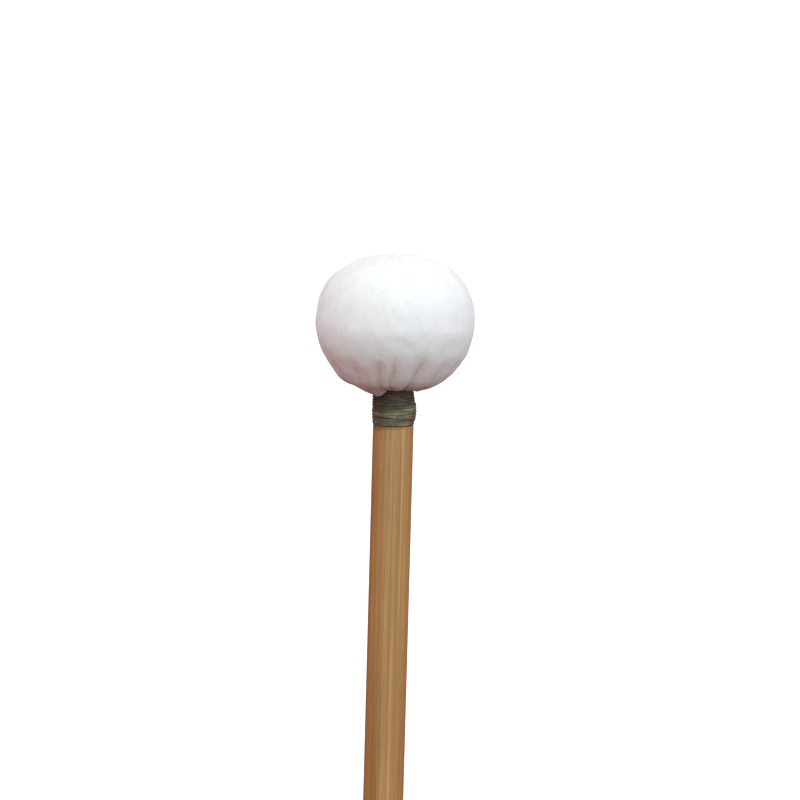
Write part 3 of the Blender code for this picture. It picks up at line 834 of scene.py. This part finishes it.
def pleat_depth(facing_degrees, radius, way_down):
    """How far the felt is drawn in, and how far it puffs out between the pleats, at an angle and a height."""
    depth = 0.0
    puff = 1.0
    shallower = 1 - 0.60 * ease(0.52, 0.92, way_down)
    for angle, strength, start, width in pleats:
        wander = math.sin(angle * 7.0 + way_down * 6.0)
        away = abs((facing_degrees - angle - wander + 180) % 360 - 180)
        growth = ease(start, full_depth_from, way_down) ** 1.4
        round_bottom = 0.10 + 0.50 * (1 - growth)
        across = math.hypot(math.radians(away) * radius / MM, round_bottom) - round_bottom
        open_width = width * (2.4 - 1.2 * way_down)
        crease = math.exp(-((across / open_width) ** 1.3))
        depth = max(depth, deepest_crease * strength * growth * shallower * crease)
        near = 1 - math.sin(min(away / held_degrees, 1.0) * math.pi / 2)
        puff = min(puff, 1 - min(strength, 1.0) * growth * near)
    return depth, most_puff * ease(0.15, 0.5, way_down) * puff


strongest = max(strength for angle, strength, start, width in pleats)
print("no crease is deeper than", round(deepest_crease * strongest, 2), "mm")

# %% [markdown]
# ## The rings of the cover
# The outer face goes from the crown down to the lip, with its rows closer together near the lip, where the
# pleats are sharpest. Then it turns in under the lip, up into the throat and down the skirt to the hem. The
# inner face comes back up, clear of the hard strip, so the cover is one closed shell of felt. Each row of
# the lower half also notes how firmly its points are held and how freely it may puff out, for the cloth
# later.

# %% Helpers for the cover's rings
cover_sides = 360
facing = np.linspace(-180.0, 180.0, cover_sides, endpoint=False)
rings = []


def soften(values, passes):
    """Average an array with its neighbours round a circle."""
    for _ in range(passes):
        values = (np.roll(values, 1) + 2 * values + np.roll(values, -1)) / 4
    return values


def add_ring(radii, heights, shift=0.0):
    """Keep one ring of the cover: radii and heights may differ round it, and shift moves it to the right."""
    radii = np.broadcast_to(radii, facing.shape)
    heights = np.broadcast_to(heights, facing.shape)
    turns = np.radians(facing)
    rings.append(np.stack([radii * np.sin(turns) + shift, -radii * np.cos(turns), heights], axis=1))


def from_profile(height, heights, values):
    """A profile's value at a height, its corners rounded; the profile is in mm, from the equator up."""
    place = (height - equator) / MM
    nearby = [np.interp(place + step, heights, values) for step in (-1.2, -0.6, 0.0, 0.6, 1.2)]
    return np.mean(nearby, axis=0) * MM


def lean_at(height):
    """How far the head leans sideways at a height."""
    return from_profile(height, lean_heights, lean_shifts)


# %% The cover's outer face
upper_rows = 30
lower_rows = 44
crowding = 1.15
pinned_depth = 0.5 * MM
lifts = soften(np.interp(facing, lip_turns, lip_lifts), 6) * MM
held_rows = []
free_share = []
for row in range(upper_rows):
    angle = math.pi / 2 * (1 - (row + 1) / upper_rows)
    radius, level = upper_curve(cover_form, angle)
    add_ring(radius, level, lean_at(level))
for row in range(1, lower_rows + 1):
    angle = lip_angle * (1 - (1 - row / lower_rows) ** crowding)
    way_down = angle / lip_angle
    radius, level = lower_curve(cover_form, angle)
    radius += from_profile(level, swell_heights, swells)
    tilt = math.atan2(math.sin(angle) / under_drop, math.cos(angle) / head_radius)
    drawn_in, puffed_out = np.array([pleat_depth(turn, radius, way_down) for turn in facing]).T * MM
    inward = drawn_in - puffed_out
    near_lip = ease(0.62, 1.0, way_down) ** 1.4
    add_ring(
        radius - inward * math.cos(tilt),
        level + inward * math.sin(tilt) + lifts * near_lip,
        lean_at(level),
    )
    at_an_edge = 1.0 if row <= 2 or row >= lower_rows - 1 else 0.0
    held_rows.append(np.maximum(np.clip(drawn_in / pinned_depth, 0.0, 1.0), at_an_edge))
    free_share.append(ease(0.18, 0.60, way_down))
print("lip", round(rings[-1][:, 2].min() / MM, 2), "to", round(rings[-1][:, 2].max() / MM, 2), "mm up")

# %% The lip, the throat, the skirt and the lining
least_lip_radius = 6.85 * MM
skirt_radius = 5.22 * MM
# mm inside the lip, mm below it, share of its lean
lip_roll = [(0.16, 0.14, 0.8), (0.34, 0.12, 0.5)]
# radius and depth below the throat's top, in mm
throat_rings = [(6.00, 0.1), (5.60, 0.0), (5.30, 0.3)]
lip_ring = rings[-1]
lip_out = np.maximum(soften(np.hypot(lip_ring[:, 0], lip_ring[:, 1]), 3), least_lip_radius)
lip_level = soften(lip_ring[:, 2], 2)
lip_shift = lean_at(lip_level.mean())
for inside, below, share in lip_roll:
    add_ring(lip_out - inside * MM, lip_level - below * MM, lip_shift * share)
add_ring(6.45 * MM, lip_level + 0.12 * MM, lip_shift * 0.2)
add_ring(6.30 * MM, (lip_level + throat_height) / 2)
for throat_radius, below in throat_rings:
    add_ring(throat_radius * MM, throat_height - below * MM)
hem = shoulder + 3.8 * MM
for level in np.linspace(throat_height - 0.8 * MM, hem, 6):
    add_ring(skirt_radius, level)
add_ring(bore_radius, hem)
for angle in np.linspace(math.acos(bore_radius / lining_form[0]), 0.0, 9):
    add_ring(*lower_curve(lining_form, angle))
for angle in np.linspace(0.0, math.pi / 2, 9)[1:-1]:
    add_ring(*upper_curve(lining_form, angle))

cover_points = [tuple(point) for ring in rings for point in ring]
cover_faces = join_rings(len(rings), cover_sides)
cover_faces += cap_ends(cover_points, len(rings), cover_sides)
cover = make_piece("felt_ball_cover", cover_points, cover_faces, cover_felt, ["felt_cover"])

# %% [markdown]
# ## Puffing the felt out
# A gathered cover is held along its creases and at its hem, and the spare felt between them is pushed out
# by the springy layers under it. That is what a cloth simulation with air pressure does. It runs on a copy
# of the gathered belt alone, twenty times as large, because the solver is made for things the size of a
# cushion. The points in the creases are pinned, the rest lengths are a little longer than the belt, and no
# point may move further than a fraction of a millimetre, so the ball keeps its size.

# %% Blow the gathered belt out with Cloth
enlarged = 20.0
cloth_frames = 20
longer_by = 0.006
air_pressure = 8.0
largest_move = 0.42 * MM


def blown_out(belt_points, belt_faces, held):
    """How far Cloth moves each point of a belt of felt; held is 0 to 1 for each point."""
    mesh = bpy.data.meshes.new("belt")
    mesh.from_pydata([tuple(Vector(point) * enlarged) for point in belt_points], [], belt_faces)
    belt = add_object("belt", mesh)
    pins = belt.vertex_groups.new(name="held")
    for number, hold in enumerate(held):
        pins.add([number], float(hold), "REPLACE")
    settings = belt.modifiers.new("felt", "CLOTH").settings
    settings.quality = 4
    settings.mass = 0.15
    settings.tension_stiffness = 12.0
    settings.compression_stiffness = 12.0
    settings.shear_stiffness = 6.0
    settings.bending_stiffness = 25.0
    settings.shrink_min = -longer_by
    settings.use_pressure = True
    settings.uniform_pressure_force = air_pressure
    settings.vertex_group_mass = pins.name
    settings.pin_stiffness = 1.0
    settings.effector_weights.gravity = 0.0
    for moment in range(1, cloth_frames + 1):
        scene.frame_set(moment)
    blown = belt.evaluated_get(bpy.context.evaluated_depsgraph_get()).data
    both = zip(blown.vertices, mesh.vertices)
    moves = np.array([(after.co - before.co) / enlarged for after, before in both])
    scene.frame_set(1)
    bpy.data.objects.remove(belt)
    lengths = np.linalg.norm(moves, axis=1)
    print("felt moved by", round(lengths.mean() / MM, 3), "mm, at most", round(lengths.max() / MM, 3), "mm")
    return moves * np.minimum(1.0, largest_move / np.maximum(lengths, 1e-9))[:, None]


belt_points = np.concatenate(rings[upper_rows : upper_rows + lower_rows])
belt_faces = [face[::-1] for face in join_rings(lower_rows, cover_sides)]
moves = blown_out(belt_points, belt_faces, np.concatenate(held_rows))
moves *= np.repeat(free_share, cover_sides)[:, None]
for number, move in enumerate(moves):
    cover.data.vertices[upper_rows * cover_sides + number].co += Vector(move)
cover.data.update()

# %% [markdown]
# ## Lumps in the felt
# Felt is never quite smooth. Noise at three sizes moves each point of the outer face along its own normal:
# broad swells as wide as a finger, dents of a few millimetres, and matted tufts. The inner face stays as it
# is, clear of the strip.

# %% Move the felt's surface in and out
lump_sizes = [
    # width and depth in mm
    (11.0, 0.16),
    (4.5, 0.17),
    (1.6, 0.07),
]
outer_count = (upper_rows + lower_rows) * cover_sides
moved = []
for point in cover.data.vertices[:outer_count]:
    push = 0.0
    for number, (width, depth) in enumerate(lump_sizes):
        where = point.co / (width * MM) + Vector((number * 17.3, 4.1, 9.7))
        push += lump_noise.noise(where) * depth * MM
    moved.append(point.co + point.normal * push)
for point, place in zip(cover.data.vertices[:outer_count], moved):
    point.co = place
cover.data.update()
print("lumps on", outer_count, "points")

# %% [markdown]
# ## The nap
# The ends of single wool fibres stand up from soft felt and make its outline hazy against a bright
# background. A few thousand of them are enough: each is a thin closed spike with a bend in it, its root
# sunk in the felt, most of them leaning well over. They are real geometry, so they show from every side.

# %% Fibre ends on the felt
fibre_count = 4200
shortest_fibre = 0.35
longest_fibre = 0.95
fibre_width = 0.045 * MM
root_depth = 0.12 * MM
nap_seed = np.random.default_rng(5)


def nap_fibre(root, out, length):
    """One bent, tapered, three-sided fibre that leaves its root along out and then leans over."""
    aside = out.orthogonal().normalized()
    aside = Matrix.Rotation(nap_seed.uniform(0.0, 2 * math.pi), 3, out) @ aside
    across = out.cross(aside)
    first = (out + aside * nap_seed.uniform(0.2, 1.0)).normalized()
    second = (first + aside * nap_seed.uniform(0.3, 1.2)).normalized()
    knee = root + first * length * 0.5
    points = []
    for centre, radius in ((root - out * root_depth, fibre_width / 2), (knee, fibre_width * 0.35)):
        for corner in range(3):
            turn = corner * 2 * math.pi / 3
            points.append(centre + (aside * math.cos(turn) + across * math.sin(turn)) * radius)
    points.append(knee + second * length * 0.5)
    faces = [(0, 2, 1), (0, 1, 4, 3), (1, 2, 5, 4), (2, 0, 3, 5), (3, 4, 6), (4, 5, 6), (5, 3, 6)]
    return points, faces


felt_faces = [face for face in cover.data.polygons if max(face.vertices) < outer_count]
face_areas = np.array([face.area for face in felt_faces])
nap_points = []
nap_faces = []
for number in nap_seed.choice(len(felt_faces), fibre_count, p=face_areas / face_areas.sum()):
    face = felt_faces[number]
    corners = [cover.data.vertices[index].co for index in face.vertices]
    parts = nap_seed.dirichlet(np.ones(len(corners)))
    root = sum((corner * float(part) for corner, part in zip(corners, parts)), Vector())
    length = nap_seed.uniform(shortest_fibre, longest_fibre) * MM
    fibre_points, fibre_faces = nap_fibre(root, face.normal.copy(), length)
    nap_faces += [tuple(len(nap_points) + corner for corner in fibre_face) for fibre_face in fibre_faces]
    nap_points += fibre_points
make_piece("felt_nap", nap_points, nap_faces, cover_felt, ["felt_cover"])

# %% [markdown]
# ## Twisted thread
# Binding thread is three plies twisted together. Each ply here is its own thin tube that turns round the
# thread's path, so the light catches it as it does on real twist. The path is resampled by its length
# first: then the twist is even wherever the thread goes.

# %% Three plies along a path
steps_per_twist = 10


def even_steps(run, step):
    """Points at even steps along a run, and how far along it each lies."""
    run = np.asarray(run, dtype=float)
    lengths = np.concatenate([[0.0], np.cumsum(np.linalg.norm(np.diff(run, axis=0), axis=1))])
    at = np.linspace(0.0, lengths[-1], max(8, int(lengths[-1] / step)))
    return np.stack([np.interp(at, lengths, run[:, axis]) for axis in range(3)], axis=1), at


def unit(vectors):
    """Vectors scaled to length one."""
    return vectors / np.linalg.norm(vectors, axis=1, keepdims=True)


def plied_thread(name, run, diameter, material, replaced, sides=6):
    """A three-ply twisted thread along a run of points that goes round the Z axis."""
    pitch = diameter * 3.0
    path, at = even_steps(run, pitch / steps_per_twist)
    ahead = unit(np.gradient(path, axis=0))
    away = path * (1.0, 1.0, 0.0)
    away = unit(away - ahead * np.sum(away * ahead, axis=1, keepdims=True))
    beside = np.cross(ahead, away)
    # the plies press into one another a little
    ply_radius = diameter * 0.257
    ply_out = diameter / 2 - ply_radius
    points = []
    faces = []
    for ply in range(3):
        twist = math.tau * (at / pitch + ply / 3)
        core = path + ply_out * (np.cos(twist)[:, None] * away + np.sin(twist)[:, None] * beside)
        start = len(points)
        around = np.arange(sides) * math.tau / sides
        for centre, out, side in zip(core, away, beside):
            for turn in around:
                points.append(tuple(centre + ply_radius * (math.cos(turn) * out + math.sin(turn) * side)))
        faces += join_rings(len(core), sides, start)
        faces += cap_ends(points, len(core), sides, start)
    print(name, round(at[-1] * 1000), "mm of thread")
    return make_piece(name, points, faces, material, replaced)


# %% [markdown]
# ## The olive binding
# About twelve turns go up over the gathered felt. Then the same thread comes back down over them, in a turn
# and a half at a steeper slope, which locks them and gives the binding its uneven barrel. Its two ends are
# tucked in, so none is seen. A slow wobble in height and radius keeps the turns from looking machined.

# %% Where the binding lies
binding_size = 1.05 * MM
low_turn = shoulder + 0.48 * binding_size
high_turn = throat_height - 1.4 * MM
# share of the way up the binding, the thread's distance from the axis (mm), and its shift to the right (mm)
binding_rises = [0.0, 0.09, 0.22, 0.35, 0.54, 0.67, 0.8, 1.0, 1.1, 1.2]
binding_radii = [5.70, 5.84, 6.11, 6.24, 6.19, 6.07, 5.97, 5.80, 5.50, 5.25]
binding_asides = [-0.03, -0.02, 0.10, 0.20, 0.15, 0.03, -0.09, -0.25, -0.20, 0.0]
wobble_seed = np.random.default_rng(5)
waves = wobble_seed.uniform(0, math.tau, (2, 4))


def wobble(turns_done, which):
    """A slow random-looking wave between about -1 and 1, by turns wound."""
    parts = [math.sin(turns_done * rate + waves[which][n]) for n, rate in enumerate((1.3, 2.9, 4.7, 7.1))]
    return sum(parts) / 2.2


def wind(turns_done, level, lift):
    """A point on the winding: the thread lies lift above the first layer."""
    rise = (level - shoulder) / (binding_top - shoulder)
    out = np.interp(rise, binding_rises, binding_radii) * MM + lift + 0.04 * MM * wobble(turns_done, 0)
    turn = math.tau * turns_done
    aside = np.interp(rise, binding_rises, binding_asides) * MM
    return (out * math.sin(turn) + aside, -out * math.cos(turn), level + 0.05 * MM * wobble(turns_done, 1))


print("the binding goes from", round(low_turn / MM, 1), "to", round(high_turn / MM, 1), "mm up")

# %% Wind the binding
steps_per_turn = 60
first_turn = 0.35
level_turns = 0.9
up_turns = 12.3
down_turns = 1.6
tuck_steps = 14
climb_steps = 24
leave_steps = 40
tuck_depth = 0.45 * binding_size
over = 0.12 * binding_size
winding_height = high_turn - low_turn
down_from = 0.24
down_span = 0.62
binding_run = []
for step in range(int(up_turns * steps_per_turn) + 1):
    share = max(0.0, step / steps_per_turn - level_turns) / (up_turns - level_turns)
    lift = -tuck_depth * (1 - min(1.0, step / tuck_steps))
    binding_run.append(wind(step / steps_per_turn + first_turn, low_turn + winding_height * share, lift))
down_steps = down_turns * steps_per_turn
for step in range(1, int(down_steps) + 1):
    share = step / down_steps
    climb = min(1.0, step / climb_steps) * min(1.0, (down_steps - step) / tuck_steps)
    level = high_turn - winding_height * (down_from + down_span * share) * ease(0.0, leave_steps, step)
    binding_run.append(wind(up_turns + first_turn + step / steps_per_turn, level, over * climb))
plied_thread("olive_binding", binding_run, binding_size, olive_thread, ["binding_thread"], 8)

# %% [markdown]
# ## The threads inside the head
# Three more threads do their work out of sight: the cord in the cover's hem, drawn tight round the neck;
# the whipping under the core, which stops the head from sliding down; and the lacing that holds the felt
# strip's two ends together at the back.

# %% Wind the cord in the hem and the whipping
def helix(turns_wound, radius, low, high):
    """A plain winding round the stick's axis."""
    count = int(turns_wound * 48)
    angles = np.linspace(0.0, turns_wound, count) * math.tau
    return np.stack([radius * np.cos(angles), radius * np.sin(angles), np.linspace(low, high, count)], axis=1)


plain_windings = [
    # piece, the CAD node it stands for, turns, thread's thickness
    ("hem_draw_cord", "cover_draw_thread", 1.92, 0.8 * MM),
    ("core_stop_whipping", "neck_whipping", 5.2, 0.6 * MM),
]
for name, node, turns_wound, size in plain_windings:
    low_corner, high_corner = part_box(node)
    run = helix(turns_wound, bore_radius + size / 2, low_corner.z + size / 2, high_corner.z - size / 2)
    plied_thread(name, run, size, linen_thread, [node])

# %% Lace the strip's seam
core_radius = 14.5 * MM
lacing_size = 0.6 * MM
half_stitch = 1.1 * MM
crossings = 9
steps_per_crossing = 12
lacing_steps = crossings * steps_per_crossing
under_angle = -math.acos(core_radius / strip_form[0])
over_angle = upper_angle(strip_form, core_radius)
lacing_run = []
for step in range(lacing_steps + 1):
    angle = under_angle + (over_angle - under_angle) * step / lacing_steps
    radius, level = upper_curve(strip_form, angle) if angle > 0 else lower_curve(strip_form, -angle)
    share = 1 - lacing_size / 2 / math.hypot(radius, level - equator)
    out = radius * share
    aside = half_stitch * math.cos(math.pi * step / steps_per_crossing)
    turn = math.pi / 2 + aside / out
    lacing_run.append((out * math.cos(turn), out * math.sin(turn), equator + (level - equator) * share))
plied_thread("strip_seam_lacing", lacing_run, lacing_size, linen_thread, ["band_seam_lacing"])

# %% [markdown]
# ## The hard felt under the cover
# A strip of pressed felt is bent round the core, thinned at both ends so that the lacing lies sunk, and a
# domed disc fills the hole on top. Neither is seen, but both are made as soft pieces with rounded edges,
# because they give the ball its shape.

# %% The strip's section
core_height = 21.4 * MM
core_rounding = 6.0 * MM
pad_radius = 8.3 * MM
strip_inside_top = pad_radius + clearance
strip_inside_under = bore_radius + 0.6 * MM + clearance


def core_curve(inner_radius, sign):
    """The core's rounded edge plus the clearance, from its middle height in to a radius on a flat end."""
    flat_radius = core_radius - core_rounding
    bend = core_rounding + clearance
    flat_height = core_height / 2 - core_rounding
    curve = []
    for angle in np.linspace(0.0, math.pi / 2, 9):
        radius = flat_radius + bend * math.cos(angle)
        if radius >= inner_radius:
            curve.append((radius, equator + sign * (flat_height + bend * math.sin(angle))))
    if inner_radius < flat_radius:
        curve.append((inner_radius, equator + sign * (flat_height + bend)))
    return curve


top_start = upper_angle(strip_form, strip_inside_top)
under_start = math.acos(strip_inside_under / strip_form[0])
strip_outside = [upper_curve(strip_form, angle) for angle in np.linspace(top_start, 0.0, 12)]
strip_outside += [lower_curve(strip_form, angle) for angle in np.linspace(0.0, under_start, 14)[1:]]
strip_inside = core_curve(strip_inside_under, -1)[::-1] + core_curve(strip_inside_top, 1)
strip_section = strip_outside + strip_inside
print("strip's section has", len(strip_section), "points")

# %% Bend the strip round the core
strip_sides = 96
skive_depth = 1.3 * MM
skive_length = 4.0 * MM
half_gap = 0.3 * MM / strip_form[0]
strip_points = []
for number in range(strip_sides + 1):
    turn = math.pi / 2 + half_gap + (math.tau - 2 * half_gap) * number / strip_sides
    from_end = min(number, strip_sides - number) * math.tau / strip_sides * strip_form[0]
    skive = skive_depth * max(0.0, 1 - from_end / skive_length) ** 1.2
    for index, (radius, level) in enumerate(strip_section):
        share = 1.0
        if 0 < index < len(strip_outside) - 1:
            share -= skive / math.hypot(radius, level - equator)
        out = radius * share
        strip_points.append((out * math.cos(turn), out * math.sin(turn), equator + (level - equator) * share))
section_size = len(strip_section)
strip_faces = join_rings(strip_sides + 1, section_size)
strip_faces.append(tuple(range(section_size))[::-1])
strip_faces.append(tuple(strip_sides * section_size + index for index in range(section_size)))
strip = make_piece(
    "core_felt_strip", strip_points, strip_faces, strip_felt, ["inner_felt_band"]
)
strip.data.set_sharp_from_angle(angle=math.radians(45))

# %% The crown pad
pad_sides = 72
pad_floor = equator + core_height / 2 + clearance
pad_rim = 0.5 * MM
dome_angles = np.linspace(upper_angle(strip_form, pad_radius), math.pi / 2, 12)[1:-1]
pad_section = [(1.0 * MM, pad_floor), (pad_radius - pad_rim, pad_floor), (pad_radius, pad_floor + pad_rim)]
pad_section += [upper_curve(strip_form, angle) for angle in dome_angles]
pad_points, pad_faces = lathe(pad_section, pad_sides)
pad = make_piece("crown_felt_pad", pad_points, pad_faces, strip_felt, ["crown_pad"])
